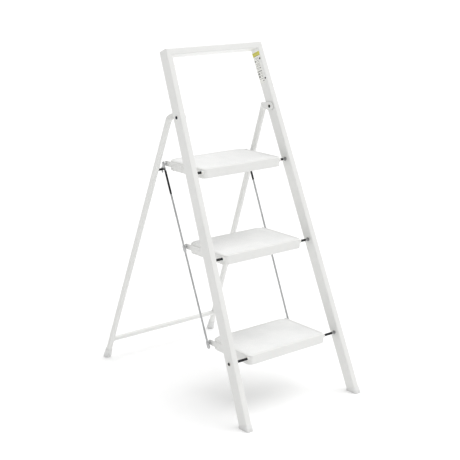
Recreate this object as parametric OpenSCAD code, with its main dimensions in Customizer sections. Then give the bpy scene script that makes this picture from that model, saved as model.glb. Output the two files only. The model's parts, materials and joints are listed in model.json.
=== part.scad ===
// Slim folding step stool with a tall grip frame and three treads.
// The treads hinge between the leaning side tubes. A rear frame hinges near the top, and one link
// assembly on each side ties the treads together and hooks over a stud on the rear leg.
// +Z is up, +Y is to the rear and +X is to the right of a person facing the treads.
// The origin is on the floor, at the middle of the footprint.

/* [Front frame] */
// Height of the frame, from the floor to the front top edge of the top rail
frame_h = 1050; // [1030:5:1080]
// Width over the side tubes at the floor
floor_w = 454.6; // [445:0.2:465]
// Width over the side tubes at the top
top_w = 366.6; // [362:0.2:372]
// Backward lean of the frame, in degrees
lean = 22.5; // [21.5:0.25:23.5]
// Face width of the rectangular side tubes
tube_w = 20; // [18:0.5:22]
// Depth of the rectangular side tubes
tube_d = 37; // [34:1:40]
// Wall thickness of every tube
tube_wall = 1.5; // [1.2:0.1:2]
// Outside corner radius of the rectangular tubes
tube_r = 3; // [2:0.5:5]

/* [Treads] */
// Height of the hinge pins of the lower tread
lower_z = 178.5; // [170:0.5:190]
// Height of the hinge pins of the middle tread
middle_z = 455.8; // [445:0.1:465]
// Height of the hinge pins of the top tread
top_z = 697.2; // [690:0.1:705]
// Width of a tread
tread_w = 303.6; // [296:0.2:306]
// Depth of a tread
tread_d = 189.4; // [185:0.2:195]
// Distance of the hinge pins behind the tread's front edge
pin_setback = 11.4; // [10.4:0.2:12.4]
// Height of the tread's rim above the hinge pins
rim_rise = 10.9; // [10:0.1:12]
// Height of the skirt that hangs down around a tread
skirt_h = 29.3; // [27:0.1:32]
// Corner radius at the front of a tread
front_r = 16; // [12:1:20]
// Corner radius at the rear of a tread
rear_r = 36; // [28:1:40]
// Width of the raised rim around the mat
rim_w = 9; // [7:0.5:12]

/* [Rear frame] */
// Height of the pivot of the rear legs
pivot_z = 855.3; // [848:0.1:862]
// Lean of the rear legs, in degrees from upright
leg_lean = 21.2; // [20.5:0.1:22]
// Distance of a leg's centreline behind its pivot
leg_offset = 41.8; // [40:0.2:44]
// Radius of the round rear leg tubes
leg_r = 9.5; // [9:0.25:10]
// Distance between the leg centrelines at the floor
leg_floor_w = 439.8; // [430:0.2:446]
// Distance between the leg centrelines at the height of the pivot
leg_top_w = 367.6; // [364:0.2:370]
// Height of the crossbar between the rear legs
crossbar_z = 68; // [55:1:90]
// Radius of the crossbar
crossbar_r = 8; // [7:0.5:9]

/* [Links and catch] */
// Distance of the link pins behind the hinge pins of the treads
link_reach = 174.5; // [173:0.5:176]
// Distance of each link from the middle of the stool
link_x = 163.6; // [163.4:0.1:163.7]
// Radius of the link rods
rod_r = 3; // [2.5:0.25:3]
// Thickness of the flat eyes and of the catch hooks
plate_t = 3; // [2.5:0.25:3]
// Height of the catch studs on the rear legs
stud_z = 680; // [679:0.5:682]
// Radius of the catch studs
stud_r = 3.5; // [3:0.25:3.5]

/* [Hidden] */
$fn = 64;
big = 3000;

// Fits and small hardware
running_gap = 0.05;
open_gap = 0.4;
seat_gap = 0.3;
pin_r = 3.8;
seat_r = 6;
seat_t = 3;
pin_collar_r = 5;
pin_collar_t = 1.9;
outer_head_r = 5;
outer_head_t = 2.6;
outer_ring_r = 7.5;
outer_ring_t = 0.7;
bush_r = 5.2;
bush_flange_r = 6.2;
bush_flange_t = 2.5;
boss_r = 6.7;
boss_l = 14;
rivet_r = 3.2;
rivet_head_r = 5;
rivet_head_t = 2.4;
inner_head_t = 1.7;
washer_r = 9;
outer_washer_r = 6.7;
washer_t = 0.7;
screw_r = 2;
screw_head_r = 4.2;
screw_head_t = 1.4;
screw_fore = 13;
screw_up = [1014.8, 1078.5];
link_pin_r = 3;
link_pin_head_r = 5;
link_pin_head_t = 1.2;
shoulder_r = 4.6;
sleeve_r = 3.3;
sleeve_l = 80;
sleeve_gap = 1.5;

// Pressed steel trays
sheet_t = 1.5;
mat_recess = 1.3;
mat_t = 1;
mat_gap = 0.4;
bracket_t = 3;
bracket_r = 8;
bracket_front = 100;
bracket_rivet_y = [112, 132];
bracket_rivet_r = 2.5;
bracket_rivet_head_r = 4;
bracket_rivet_head_t = 1.2;

// Boots and feet
boot_wall = 2;
boot_h = 14;
sole_t = 3;
foot_h = 34;
foot_ring_h = 5;
foot_ring = 1;

// Flattened upper ends of the rear legs
paddle_x = 167;
paddle_t = 2.9;
paddle_r = 14;
elbow_back = 29;
elbow_down = 12;
tube_start_down = 30;
neck_skin = 0.3;

// Catch hooks and eyes
hook_gap = 0.4;
hook_w = 4.5;
hook_drop = 8;
eye_r = 6.5;
eye_drop = 12;
top_eye_r = 7;

// Label on the inside of the right side tube: a wide band over a narrower field
label_t = 0.3;
label_rear = 16.5;
label_fore = 8;
label_h = 100;
label_top = 1101.5;
band_h = 13;
band_fore = 17;

// Side tubes: splay in their own leaning plane, and their place there
splay_slope = (floor_w - top_w) / 2 / frame_h;
splay = atan(splay_slope * cos(lean));
tube_run = tube_w / cos(splay);
stile_floor_x = floor_w / 2 - tube_run / 2;
rail_rise = tube_r + (tube_w / 2 - tube_r) * cos(lean) + (tube_d / 2 - tube_r) * sin(lean);
rail_up = (frame_h - rail_rise) / cos(lean);
rail_x = stile_floor_x - rail_up * tan(splay);
mitre = 45 - splay / 2;

// Rear legs: splay in their own leaning plane, and their place there
pivot_up = pivot_z / cos(leg_lean) + leg_offset * tan(leg_lean);
leg_splay = atan((leg_floor_w - leg_top_w) / 2 / (pivot_z / cos(leg_lean)));
foot_y_from_face = face_y(pivot_z) + leg_offset / cos(leg_lean) + pivot_z * tan(leg_lean);

// Middle of the footprint, measured back from the front face of the side tubes
rear_edge = foot_y_from_face + (leg_r + boot_wall + foot_ring) / cos(leg_lean);
y_mid = (rear_edge - boot_wall / cos(lean)) / 2;
foot_y = foot_y_from_face - y_mid;

// Place of the catch stud, along and across the link
stud_back = leg_y(stud_z) - link_y(top_z);
stud_across = stud_back * cos(lean) - (stud_z - top_z) * sin(lean);
stud_along = stud_back * sin(lean) + (stud_z - top_z) * cos(lean);
middle_eye = (middle_z - top_z) / cos(lean);
lower_eye = (lower_z - top_z) / cos(lean);

// Distance from the front face of the side tubes at the floor to their centreline at height z
function face_y(z) = tube_d / 2 / cos(lean) + z * tan(lean);
// Centreline of the side tubes
function mid_y(z) = face_y(z) - y_mid;
function outer_x(z) = floor_w / 2 - splay_slope * z;
function inner_x(z) = outer_x(z) - tube_run;
// Centreline of the rear legs
function leg_y(z) = foot_y - z * tan(leg_lean);
function leg_x(z) = leg_floor_w / 2 - (z / cos(leg_lean)) * tan(leg_splay);
function link_y(z) = mid_y(z) + link_reach;

// ---- placing ----

module both_sides() {
    children();
    mirror([1, 0, 0])
        children();
}

// Stands its children up in the leaning plane of the side tubes.
module leaned() {
    translate([0, mid_y(0), 0])
        rotate([-lean, 0, 0])
            children();
}

// Puts its children on the centreline of the right side tube, with local Z along the tube.
module in_stile() {
    leaned()
        translate([stile_floor_x, 0, 0])
            rotate([0, -splay, 0])
                children();
}

// Stands its children up in the leaning plane of the rear legs.
module reclined() {
    translate([0, foot_y, 0])
        rotate([leg_lean, 0, 0])
            children();
}

// Moves its children to the hinge axis of a tread.
module at_pin(z) {
    translate([0, mid_y(z), z])
        children();
}

// Puts its children on the top link pin, with local Z up along the link.
module at_link() {
    translate([0, link_y(top_z), top_z])
        rotate([-lean, 0, 0])
            children();
}

module below_floor(z) {
    translate([-big / 2, -big / 2, z - big])
        cube(big);
}

// ---- basic shapes ----

module x_rod(from, to, r) {
    translate([from, 0, 0])
        rotate([0, 90, 0])
            cylinder(h = to - from, r = r);
}

module washer(from, r) {
    difference() {
        x_rod(from, from + washer_t, r);
        x_rod(from - 1, from + washer_t + 1, rivet_r);
    }
}

module x_plate(from, to) {
    translate([from, 0, 0])
        rotate([90, 0, 90])
            linear_extrude(to - from)
                children();
}

module round_rect(w, d, r) {
    square([w - 2 * r, d], center = true);
    square([w, d - 2 * r], center = true);
    for (sx = [-1, 1], sy = [-1, 1])
        translate([sx * (w / 2 - r), sy * (d / 2 - r)])
            circle(r = r);
}

module tube_section() {
    difference() {
        round_rect(tube_w, tube_d, tube_r);
        round_rect(tube_w - 2 * tube_wall, tube_d - 2 * tube_wall, tube_r - tube_wall);
    }
}

// Half-space on one side of the mitre between a side tube and the top rail.
module mitre_side(outside) {
    translate([rail_x, 0, rail_up])
        rotate([0, mitre, 0])
            translate([outside ? 0 : -big, -big / 2, -big / 2])
                cube(big);
}

// ---- front frame ----

module stile() {
    difference() {
        in_stile()
            translate([0, 0, -tube_d])
                linear_extrude(frame_h * 1.3)
                    tube_section();
        leaned()
            mitre_side(false);
        below_floor(sole_t);
        in_stile()
            for (up = screw_up)
                translate([0, -screw_fore, up])
                    x_rod(-tube_w, 0, screw_r);
        at_pin(pivot_z)
            x_rod(inner_x(pivot_z) - tube_w, outer_x(pivot_z) + tube_w, rivet_r);
        at_pin(lower_z)
            x_rod(inner_x(lower_z) - tube_w, outer_x(lower_z) + tube_w, pin_r);
        for (z = [middle_z, top_z])
            at_pin(z)
                x_rod(inner_x(z) - tube_w, inner_x(z) + tube_w / 2, pin_r);
    }
}

module right_stile() {
    color("whitesmoke")
        stile();
}

module left_stile() {
    color("whitesmoke")
        mirror([1, 0, 0])
            stile();
}

module top_rail() {
    color("whitesmoke")
        leaned()
            difference() {
                translate([-rail_x - tube_w, 0, rail_up])
                    rotate([0, 90, 0])
                        linear_extrude(2 * (rail_x + tube_w))
                            tube_section();
                both_sides()
                    mitre_side(true);
            }
}

module front_boot() {
    difference() {
        in_stile()
            translate([0, 0, -tube_d])
                linear_extrude(tube_d + boot_h)
                    round_rect(tube_w + 2 * boot_wall, tube_d + 2 * boot_wall, tube_r + boot_wall);
        below_floor(0);
        difference() {
            in_stile()
                translate([0, 0, -tube_d])
                    linear_extrude(3 * tube_d)
                        round_rect(tube_w, tube_d, tube_r);
            below_floor(sole_t);
        }
    }
}

module right_front_boot() {
    color("gainsboro")
        front_boot();
}

module left_front_boot() {
    color("gainsboro")
        mirror([1, 0, 0])
            front_boot();
}

// Hinge pins of one tread. A through pin shows a head and ring on the outside of the tube.
module step_pins(z, through) {
    start_x = tread_w / 2 - boss_l - 3 - pin_collar_t;
    ring_x = outer_x(z) + seat_gap;
    color("dimgray")
        at_pin(z)
            both_sides() {
                x_rod(start_x, through ? ring_x : inner_x(z) + 6, pin_r);
                x_rod(start_x, start_x + pin_collar_t, pin_collar_r);
                if (through) {
                    x_rod(ring_x, ring_x + outer_ring_t, outer_ring_r);
                    x_rod(ring_x, ring_x + outer_head_t, outer_head_r);
                }
            }
}

module lower_step_pins() {
    step_pins(lower_z, true);
}

module middle_step_pins() {
    step_pins(middle_z, false);
}

module top_step_pins() {
    step_pins(top_z, false);
}

// Rings that seat the hinge pins against the inside of the tubes.
module pin_seats(z) {
    head_x = inner_x(z) - seat_gap;
    color("silver")
        at_pin(z)
            both_sides()
                difference() {
                    x_rod(head_x - seat_t, head_x, seat_r);
                    x_rod(head_x - seat_t - 1, head_x + 1, pin_r);
                }
}

module lower_pin_seats() {
    pin_seats(lower_z);
}

module middle_pin_seats() {
    pin_seats(middle_z);
}

module top_pin_seats() {
    pin_seats(top_z);
}

// Rivets that the rear legs swing on, with a head on each side.
module leg_pivot_rivets() {
    inner_face = paddle_x - 0.1 - washer_t;
    outer_face = outer_x(pivot_z) + seat_gap;
    color("dimgray")
        at_pin(pivot_z)
            both_sides() {
                x_rod(inner_face - inner_head_t, outer_face + washer_t, rivet_r);
                x_rod(inner_face - inner_head_t, inner_face, rivet_head_r);
                x_rod(outer_face + washer_t, outer_face + rivet_head_t, rivet_head_r);
            }
}

// One washer between each leg and its tube, and one under each rivet head.
module pivot_washers() {
    outer_face = outer_x(pivot_z) + seat_gap;
    color("silver")
        at_pin(pivot_z)
            both_sides() {
                for (from = [paddle_x - 0.1 - washer_t, paddle_x + paddle_t + 0.1])
                    washer(from, washer_r);
                washer(outer_face, outer_washer_r);
            }
}

// Screws in the inside faces of the tubes, below the grip.
module grip_screws() {
    color("dimgray")
        both_sides()
            in_stile()
                for (up = screw_up)
                    translate([-tube_w / 2, -screw_fore, up]) {
                        x_rod(-screw_head_t, 0, screw_head_r);
                        x_rod(-screw_head_t, 3 * tube_wall, screw_r);
                    }
}

module side_label() {
    color("khaki")
        in_stile()
            x_plate(-tube_w / 2 - label_t, -tube_w / 2) {
                translate([-label_fore, label_top - label_h])
                    square([label_fore + label_rear, label_h]);
                translate([-band_fore, label_top - band_h])
                    square([band_fore + label_rear, band_h]);
            }
}

// ---- rear frame ----

// The round tube of the right leg, solid, at a given radius.
module leg_solid(r, up) {
    reclined()
        translate([leg_floor_w / 2, 0, 0])
            rotate([0, -leg_splay, 0])
                translate([0, 0, -2 * leg_r])
                    cylinder(h = up + 2 * leg_r, r = r);
}

// The flat outline of two discs, the first at the origin, and the tangents that join them.
module tapered_outline(r1, to, r2) {
    run = norm(to);
    turn = atan2(to[1], to[0]);
    open = acos((r1 - r2) / run);
    circle(r = r1);
    translate(to)
        circle(r = r2);
    polygon([
        r1 * [cos(turn + open), sin(turn + open)],
        to + r2 * [cos(turn + open), sin(turn + open)],
        to + r2 * [cos(turn - open), sin(turn - open)],
        r1 * [cos(turn - open), sin(turn - open)]
    ]);
}

// The flattened end of a leg, and the neck where its round tube closes up into it.
module leg_end(straight) {
    reclined() {
        translate([0, -leg_offset, pivot_up])
            x_plate(paddle_x, paddle_x + paddle_t)
                tapered_outline(paddle_r, [elbow_back, -elbow_down], leg_r);
        hull() {
            translate([0, elbow_back - leg_offset, pivot_up - elbow_down])
                x_rod(paddle_x + neck_skin, paddle_x + paddle_t - neck_skin, leg_r - neck_skin, $fn = 32);
            translate([leg_floor_w / 2, 0, 0])
                rotate([0, -leg_splay, 0])
                    translate([0, 0, straight - 1.5])
                        cylinder(h = 1, r = leg_r - neck_skin, $fn = 32);
        }
    }
}

module rear_leg() {
    straight = (pivot_up - tube_start_down) / cos(leg_splay);
    difference() {
        union() {
            difference() {
                leg_solid(leg_r, straight);
                leg_solid(leg_r - tube_wall, straight - 2 * tube_wall);
            }
            leg_end(straight);
        }
        at_pin(pivot_z)
            x_rod(paddle_x - 5, paddle_x + paddle_t + 5, rivet_r + running_gap);
        translate([0, leg_y(stud_z), stud_z])
            x_rod(link_x - 5, leg_x(stud_z), stud_r);
        below_floor(sole_t);
    }
}

module right_rear_leg() {
    color("white")
        rear_leg();
}

module left_rear_leg() {
    color("white")
        mirror([1, 0, 0])
            rear_leg();
}

module lower_rear_crossbar() {
    color("white")
        difference() {
            translate([0, leg_y(crossbar_z), crossbar_z])
                difference() {
                    x_rod(-leg_floor_w / 2, leg_floor_w / 2, crossbar_r);
                    x_rod(-leg_floor_w / 2 - 1, leg_floor_w / 2 + 1, crossbar_r - tube_wall);
                }
            both_sides()
                union() {
                    leg_solid(leg_r, 4 * crossbar_z);
                    translate([leg_floor_w / 2 - leg_r / 2, foot_y - big / 2, 0])
                        cube([big, big, big]);
                }
        }
}

module rear_foot() {
    difference() {
        union() {
            leg_solid(leg_r + boot_wall, foot_h);
            leg_solid(leg_r + boot_wall + foot_ring, foot_ring_h + leg_r);
        }
        below_floor(0);
        difference() {
            leg_solid(leg_r, 2 * foot_h);
            below_floor(sole_t);
        }
    }
}

module right_rear_foot() {
    color("gainsboro")
        rear_foot();
}

module left_rear_foot() {
    color("gainsboro")
        mirror([1, 0, 0])
            rear_foot();
}

// Studs on the inside of the legs that the catch hooks sit over.
module catch_studs() {
    color("dimgray")
        translate([0, leg_y(stud_z), stud_z])
            both_sides()
                x_rod(link_x - 2.6, leg_x(stud_z) - leg_r / 2, stud_r);
}

// ---- treads ----

module tray_outline(inset) {
    half = tread_w / 2 - inset;
    front = inset - pin_setback;
    rear = tread_d - pin_setback - inset;
    rf = front_r - inset;
    rr = rear_r - inset;
    translate([-half, front + rf])
        square([2 * half, rear - rr - front - rf]);
    translate([rf - half, front])
        square([2 * (half - rf), rear - rr - front]);
    translate([rr - half, front + rf])
        square([2 * (half - rr), rear - front - rf]);
    for (side = [-1, 1]) {
        translate([side * (half - rf), front + rf])
            circle(r = rf);
        translate([side * (half - rr), rear - rr])
            circle(r = rr);
    }
}

module tray(z) {
    drop = skirt_h - rim_rise;
    color("white")
        at_pin(z)
            difference() {
                union() {
                    difference() {
                        translate([0, 0, -drop])
                            linear_extrude(skirt_h)
                                tray_outline(0);
                        translate([0, 0, -drop - 1])
                            linear_extrude(drop + 1 + rim_rise - mat_recess - sheet_t)
                                tray_outline(sheet_t);
                        translate([0, 0, rim_rise - mat_recess])
                            linear_extrude(mat_recess + 1)
                                tray_outline(rim_w);
                    }
                    both_sides()
                        x_rod(tread_w / 2 - boss_l, tread_w / 2, boss_r);
                }
                both_sides() {
                    x_rod(tread_w / 2 - boss_l - 1, tread_w / 2 + 1, bush_r);
                    for (y = bracket_rivet_y)
                        translate([0, y, 0])
                            x_rod(tread_w / 2 - 10, tread_w / 2 + 1, bracket_rivet_r);
                }
            }
}

module tread_mat(z) {
    color("lightgray")
        at_pin(z)
            translate([0, 0, rim_rise - mat_recess])
                linear_extrude(mat_t)
                    tray_outline(rim_w + mat_gap);
}

// Flanged bushes in the front corners of a tread, which turn on its hinge pins.
module pin_bushes(z) {
    start_x = tread_w / 2 - boss_l - 1;
    color("silver")
        at_pin(z)
            both_sides()
                difference() {
                    union() {
                        x_rod(start_x, tread_w / 2, bush_r);
                        x_rod(tread_w / 2, tread_w / 2 + bush_flange_t, bush_flange_r);
                    }
                    x_rod(start_x - 1, tread_w / 2 + bush_flange_t + 1, pin_r + running_gap);
                }
}

// Plates that reach back from the skirt to the link pins.
module link_brackets(z) {
    color("white")
        at_pin(z)
            both_sides()
                difference() {
                    x_plate(tread_w / 2, tread_w / 2 + bracket_t) {
                        translate([bracket_front, -bracket_r])
                            square([link_reach - bracket_front, 2 * bracket_r]);
                        translate([link_reach, 0])
                            circle(r = bracket_r);
                        translate([bracket_front, 0])
                            circle(r = bracket_r);
                    }
                    for (y = bracket_rivet_y)
                        translate([0, y, 0])
                            x_rod(tread_w / 2 - 1, tread_w / 2 + bracket_t + 1, bracket_rivet_r);
                    translate([0, link_reach, 0])
                        x_rod(tread_w / 2 - 1, tread_w / 2 + bracket_t + 1, link_pin_r);
                }
}

module bracket_rivets(z) {
    color("white")
        at_pin(z)
            both_sides()
                for (y = bracket_rivet_y)
                    translate([0, y, 0]) {
                        x_rod(tread_w / 2 - sheet_t, tread_w / 2 + bracket_t, bracket_rivet_r);
                        x_rod(
                            tread_w / 2 + bracket_t,
                            tread_w / 2 + bracket_t + bracket_rivet_head_t,
                            bracket_rivet_head_r
                        );
                        x_rod(
                            tread_w / 2 - sheet_t - bracket_rivet_head_t,
                            tread_w / 2 - sheet_t,
                            bracket_rivet_head_r
                        );
                    }
}

// Shouldered pins that the link eyes turn on.
module link_pins(z) {
    eye_in = link_x - plate_t / 2;
    eye_out = link_x + plate_t / 2;
    color("silver")
        at_pin(z)
            translate([0, link_reach, 0])
                both_sides() {
                    x_rod(tread_w / 2 - 2, eye_out + seat_gap + link_pin_head_t, link_pin_r);
                    x_rod(tread_w / 2 - 2, tread_w / 2, shoulder_r);
                    x_rod(tread_w / 2 + bracket_t, eye_in - seat_gap, shoulder_r);
                    x_rod(eye_out + seat_gap, eye_out + seat_gap + link_pin_head_t, link_pin_head_r);
                }
}

module top_tray() { tray(top_z); }
module top_tread_mat() { tread_mat(top_z); }
module top_pin_bushes() { pin_bushes(top_z); }
module top_link_brackets() { link_brackets(top_z); }
module top_bracket_rivets() { bracket_rivets(top_z); }
module top_link_pins() { link_pins(top_z); }

module middle_tray() { tray(middle_z); }
module middle_tread_mat() { tread_mat(middle_z); }
module middle_pin_bushes() { pin_bushes(middle_z); }
module middle_link_brackets() { link_brackets(middle_z); }
module middle_bracket_rivets() { bracket_rivets(middle_z); }
module middle_link_pins() { link_pins(middle_z); }

module lower_tray() { tray(lower_z); }
module lower_tread_mat() { tread_mat(lower_z); }
module lower_pin_bushes() { pin_bushes(lower_z); }
module lower_link_brackets() { link_brackets(lower_z); }
module lower_bracket_rivets() { bracket_rivets(lower_z); }
module lower_link_pins() { link_pins(lower_z); }

// ---- links ----

// Upper and lower rod of the right link, between its flat eyes and the plate of its hook.
module link_rods() {
    at_link() {
        translate([link_x, 0, middle_eye + eye_r])
            cylinder(h = stud_along - middle_eye - eye_r, r = rod_r);
        translate([link_x, 0, lower_eye + eye_r])
            cylinder(h = middle_eye - lower_eye - 2 * eye_r - eye_drop, r = rod_r);
    }
}

// Thin dark sleeve shrunk onto the upper rod, under the hook.
module rod_sleeve() {
    color("dimgray")
        at_link()
            translate([link_x, 0, stud_along - sleeve_gap - sleeve_l])
                difference() {
                    cylinder(h = sleeve_l, r = sleeve_r);
                    translate([0, 0, -1])
                        cylinder(h = sleeve_l + 2, r = rod_r);
                }
}

// Long flat eyes on the middle and lower link pins, with clearance all round.
module link_eyes() {
    at_link()
        for (up = [middle_eye, lower_eye])
            translate([0, 0, up])
                difference() {
                    x_plate(link_x - plate_t / 2, link_x + plate_t / 2) {
                        circle(r = eye_r);
                        translate([-eye_r, -eye_drop])
                            square([2 * eye_r, eye_drop]);
                        translate([0, -eye_drop])
                            circle(r = eye_r);
                    }
                    x_rod(link_x - plate_t, link_x + plate_t, link_pin_r + open_gap);
                }
}

// Flat plate with the eye of the top link pin and the hook that drops over the stud.
module catch_hook() {
    throat = stud_r + hook_gap;
    reach = throat + hook_w;
    at_link()
        difference() {
            x_plate(link_x - plate_t / 2, link_x + plate_t / 2)
                difference() {
                    union() {
                        circle(r = top_eye_r);
                        translate([-rod_r, stud_along])
                            square([stud_across, -stud_along]);
                        translate([stud_across, stud_along])
                            circle(r = reach);
                        translate([stud_across, stud_along - hook_drop])
                            square([reach, hook_drop]);
                        translate([stud_across + throat + hook_w / 2, stud_along - hook_drop])
                            circle(r = hook_w / 2);
                    }
                    translate([stud_across, stud_along])
                        circle(r = throat);
                    translate([stud_across - throat, stud_along - 3 * reach])
                        square([2 * throat, 3 * reach]);
                    translate([stud_across - 3 * reach + throat, stud_along - 3 * reach])
                        square([3 * reach, 3 * reach]);
                }
            x_rod(link_x - plate_t, link_x + plate_t, link_pin_r + running_gap);
        }
}

module right_link_rods() {
    color("darkgray")
        link_rods();
}

module left_link_rods() {
    color("darkgray")
        mirror([1, 0, 0])
            link_rods();
}

module right_rod_sleeve() {
    rod_sleeve();
}

module left_rod_sleeve() {
    mirror([1, 0, 0])
        rod_sleeve();
}

module right_link_eyes() {
    color("dimgray")
        link_eyes();
}

module left_link_eyes() {
    color("dimgray")
        mirror([1, 0, 0])
            link_eyes();
}

module right_catch_hook() {
    color("dimgray")
        catch_hook();
}

module left_catch_hook() {
    color("dimgray")
        mirror([1, 0, 0])
            catch_hook();
}

left_stile();
right_stile();
top_rail();
left_front_boot();
right_front_boot();
lower_step_pins();
middle_step_pins();
top_step_pins();
lower_pin_seats();
middle_pin_seats();
top_pin_seats();
leg_pivot_rivets();
pivot_washers();
grip_screws();
side_label();
left_rear_leg();
right_rear_leg();
lower_rear_crossbar();
left_rear_foot();
right_rear_foot();
catch_studs();
top_tray();
top_tread_mat();
top_pin_bushes();
top_link_brackets();
top_bracket_rivets();
top_link_pins();
middle_tray();
middle_tread_mat();
middle_pin_bushes();
middle_link_brackets();
middle_bracket_rivets();
middle_link_pins();
lower_tray();
lower_tread_mat();
lower_pin_bushes();
lower_link_brackets();
lower_bracket_rivets();
lower_link_pins();
left_link_rods();
left_rod_sleeve();
left_link_eyes();
left_catch_hook();
right_link_rods();
right_rod_sleeve();
right_link_eyes();
right_catch_hook();
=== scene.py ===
import json
from math import atan, atan2, cos, pi, radians, sin, sqrt, tan
import bmesh
import bpy
from mathutils import Matrix, Vector


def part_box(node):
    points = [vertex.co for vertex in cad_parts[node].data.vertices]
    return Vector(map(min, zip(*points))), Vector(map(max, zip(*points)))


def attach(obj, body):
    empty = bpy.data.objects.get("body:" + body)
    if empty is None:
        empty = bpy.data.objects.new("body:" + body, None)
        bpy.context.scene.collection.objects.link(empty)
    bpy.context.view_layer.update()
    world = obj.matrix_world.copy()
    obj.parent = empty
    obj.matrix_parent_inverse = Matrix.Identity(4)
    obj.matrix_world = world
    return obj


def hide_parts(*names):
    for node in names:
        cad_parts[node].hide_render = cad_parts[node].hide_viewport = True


# A slim folding step stool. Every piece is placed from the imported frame, in metres:
# +Z up, +Y to the rear, +X to the right of a person facing the treads.

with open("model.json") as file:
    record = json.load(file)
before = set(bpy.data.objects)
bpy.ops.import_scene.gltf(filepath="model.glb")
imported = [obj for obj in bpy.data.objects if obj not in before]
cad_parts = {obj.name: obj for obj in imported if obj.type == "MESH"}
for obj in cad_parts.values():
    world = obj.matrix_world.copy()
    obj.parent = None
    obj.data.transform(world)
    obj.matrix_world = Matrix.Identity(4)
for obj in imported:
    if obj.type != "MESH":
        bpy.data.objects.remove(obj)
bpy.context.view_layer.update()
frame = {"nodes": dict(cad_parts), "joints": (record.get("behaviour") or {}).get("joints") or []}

MM = 0.001
STEPS = ("lower", "middle", "top")
SIDES = (("left", -1), ("right", 1))

# ---- sizes of the sections, as in the part ----

TUBE_W, TUBE_R = 20 * MM, 3 * MM
SOLE = 3 * MM
BOOT_WALL, BOOT_H, BOOT_R = 2 * MM, 14 * MM, 5 * MM
LEG_R, LEG_WALL, LEG_RING, FOOT_H = 9.5 * MM, 2 * MM, 1 * MM, 34 * MM
PADDLE_X, PADDLE_T, PADDLE_R = 167 * MM, 2.9 * MM, 14 * MM
ELBOW_BACK, ELBOW_DOWN, NECK_DOWN = 29 * MM, 12 * MM, 30 * MM
CROSSBAR_R = 8 * MM
FRONT_R, REAR_R, RIM_W = 16 * MM, 36 * MM, 9 * MM
SHEET, RECESS, MAT_T, MAT_GAP = 1.5 * MM, 1.3 * MM, 1 * MM, 0.4 * MM
BOSS_R, BOSS_L, BUSH_R, FLANGE_R, FLANGE_T = 6.7 * MM, 14 * MM, 5.2 * MM, 6.2 * MM, 2.5 * MM
PIN_R, COLLAR_R, COLLAR_T, SEAT_R = 3.8 * MM, 5 * MM, 1.9 * MM, 6 * MM
OUTER_RING_R, OUTER_RING_T, OUTER_HEAD_R, OUTER_STACK = 7.5 * MM, 0.7 * MM, 5 * MM, 2.6 * MM
RIVET_R, RIVET_HEAD_R = 3.2 * MM, 5 * MM
WASHER_R, OUTER_WASHER_R, WASHER_T, WASHER_GAP = 9 * MM, 6.7 * MM, 0.7 * MM, 0.1 * MM
INNER_HEAD_T, OUTER_HEAD_T = 1.7 * MM, 2.4 * MM
SCREW_CUP_R, SCREW_HEAD_T = 4.2 * MM, 1.4 * MM
BRACKET_T, BRACKET_RIVET_R, BRACKET_HEAD_R, BRACKET_HEAD_T = 3 * MM, 2.5 * MM, 4 * MM, 1.2 * MM
LINK_PIN_R, SHOULDER_R, LINK_HEAD_R, LINK_HEAD_T = 3 * MM, 4.6 * MM, 5 * MM, 1.2 * MM
PLATE_T, ROD_R, SLEEVE_R, STUD_R = 3 * MM, 3 * MM, 3.3 * MM, 3.5 * MM
BAND_H, LABEL_T = 13 * MM, 0.3 * MM

# ---- sizes of fine detail that the part leaves out ----

SEAM = 0.3 * MM
BARE_PIN_R, BARE_PIN_L = 3 * MM, 8 * MM
SCREW_R, SCREW_CUP_T = 3.1 * MM, 0.7 * MM
BEAD_R, BEAD_RIPPLE, BEAD_RIPPLES = 1.25 * MM, 0.18 * MM, 19
RIB_DEPTH, RIB_BORDER, MAT_EASE = 0.55 * MM, 4 * MM, 0.35 * MM
INK_T, INK_R = 0.04 * MM, 0.2 * MM
MERGE = 0.002 * MM

# ---- places, from the frame ----

JOINT = {joint["name"]: Vector(joint["pos_m"]) for joint in frame["joints"]}
PIN = {step: JOINT[f"{step}_step_fold"] for step in STEPS}
PIVOT = JOINT["rear_frame_fold"]
LINK_REACH = JOINT["right_link_swing"].y - PIN["top"].y
LINK_X = JOINT["right_link_swing"].x


def corners(node):
    """Every vertex of a CAD node."""
    return [vertex.co for vertex in frame["nodes"][node].data.vertices]


def reach(node):
    """Inner and outer distance of a CAD node from the middle of the stool, on the right side."""
    places = [point.x for point in corners(node) if point.x > 0]
    return min(places), max(places)


def middle(node):
    low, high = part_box(node)
    return (low + high) / 2


def halfway(values):
    return (min(values) + max(values)) / 2


def turn(angle, axis):
    return Matrix.Rotation(angle, 4, axis)


def shift(x, y, z):
    return Matrix.Translation((x, y, z))


def along_x(x, y, z):
    """A place whose local Z points along +X."""
    return shift(x, y, z) @ turn(pi / 2, "Y")


# The leaning plane of the front frame, with local Y = 0 on the hinge pins.
LEAN = atan2(PIN["top"].y - PIN["lower"].y, PIN["top"].z - PIN["lower"].z)
FRONT = shift(0, PIN["lower"].y - PIN["lower"].z * tan(LEAN), 0) @ turn(-LEAN, "X")
stile_points = [FRONT.inverted() @ point for point in corners("right_stile")]
TUBE_D = max(point.y for point in stile_points) - min(point.y for point in stile_points)
outermost = max(stile_points, key=lambda point: point.x)
tip = max(stile_points, key=lambda point: point.z)
SPLAY = atan((outermost.x - tip.x) / (tip.z - outermost.z))
stile_x = outermost.x + outermost.z * tan(SPLAY) - TUBE_W / 2 / cos(SPLAY)
STILE = FRONT @ shift(stile_x, 0, 0) @ turn(-SPLAY, "Y")
rail_up = tip.z - TUBE_W / 2
RAIL = FRONT @ shift(0, 0, rail_up) @ turn(pi / 2, "Y")
MITRE_TURN = pi / 4 - SPLAY / 2
MITRE = FRONT @ Vector((stile_x - rail_up * tan(SPLAY), 0, rail_up))
MITRE_NORMAL = FRONT.to_3x3() @ Vector((cos(MITRE_TURN), 0, -sin(MITRE_TURN)))
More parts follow.
